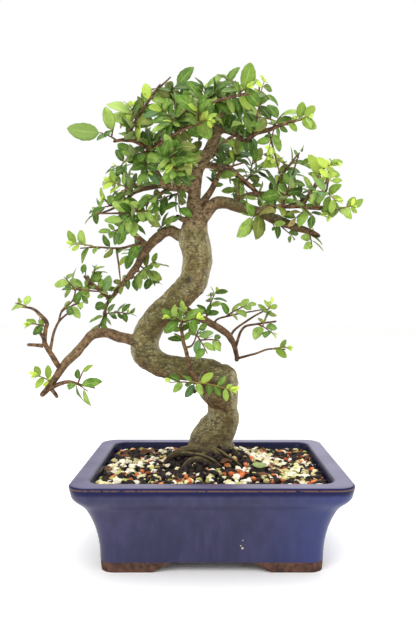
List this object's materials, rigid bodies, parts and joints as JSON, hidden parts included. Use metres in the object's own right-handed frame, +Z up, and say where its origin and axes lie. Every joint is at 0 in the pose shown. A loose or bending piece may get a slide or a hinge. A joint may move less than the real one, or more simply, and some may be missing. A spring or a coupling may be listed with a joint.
{
  "type": "chinese elm bonsai",
  "caption": "Bonsai tree with an S-curved trunk, fine leafy sprays and surface roots, in a rectangular glazed pot filled with mounded soil.",
  "frame": {"origin": "on the standing surface, under the middle of the whole plant's overall box", "axes": "+Z up; +X to the right and -Y towards the viewer of the tree's front, along the pot's long and short sides"},
  "size_m": [0.3329, 0.2028, 0.4893],
  "materials": {
    "pot_glaze": "glossy violet-blue glaze over brown stoneware, bare brown clay on the feet",
    "soil": "dark earth with white, cream, orange and brown mineral grains",
    "bark": "living bark, olive grey with pale flecks, red-brown on the twigs",
    "foliage": "living leaf, satin mid green, yellow-green on new growth",
    "net": "dark plastic net"
  },
  "bodies": {
    "root": {"pot": "pot_glaze", "soil": "soil", "tree": "bark", "fallen_leaf": "foliage", "drain_net_1": "net", "drain_net_2": "net", "spray_01": "foliage", "spray_02": "foliage", "spray_03": "foliage", "spray_04": "foliage", "spray_05": "foliage", "spray_06": "foliage", "spray_07": "foliage", "spray_08": "foliage", "spray_09": "foliage", "spray_10": "foliage", "spray_11": "foliage", "spray_12": "foliage", "spray_13": "foliage", "spray_14": "foliage", "spray_15": "foliage", "spray_16": "foliage", "spray_17": "foliage", "spray_18": "foliage", "spray_19": "foliage", "spray_20": "foliage", "spray_21": "foliage", "spray_22": "foliage", "spray_23": "foliage", "spray_24": "foliage", "spray_25": "foliage", "spray_26": "foliage", "spray_27": "foliage", "spray_28": "foliage", "spray_29": "foliage", "spray_30": "foliage", "spray_31": "foliage", "spray_32": "foliage", "spray_33": "foliage", "spray_34": "foliage", "spray_35": "foliage", "spray_36": "foliage", "spray_37": "foliage", "spray_38": "foliage", "spray_39": "foliage", "spray_40": "foliage", "spray_41": "foliage", "spray_42": "foliage", "spray_43": "foliage", "spray_44": "foliage", "spray_45": "foliage", "spray_46": "foliage", "spray_47": "foliage", "spray_48": "foliage", "spray_49": "foliage", "spray_50": "foliage", "spray_51": "foliage", "spray_52": "foliage", "spray_53": "foliage", "spray_54": "foliage"}
  },
  "joints": []
}
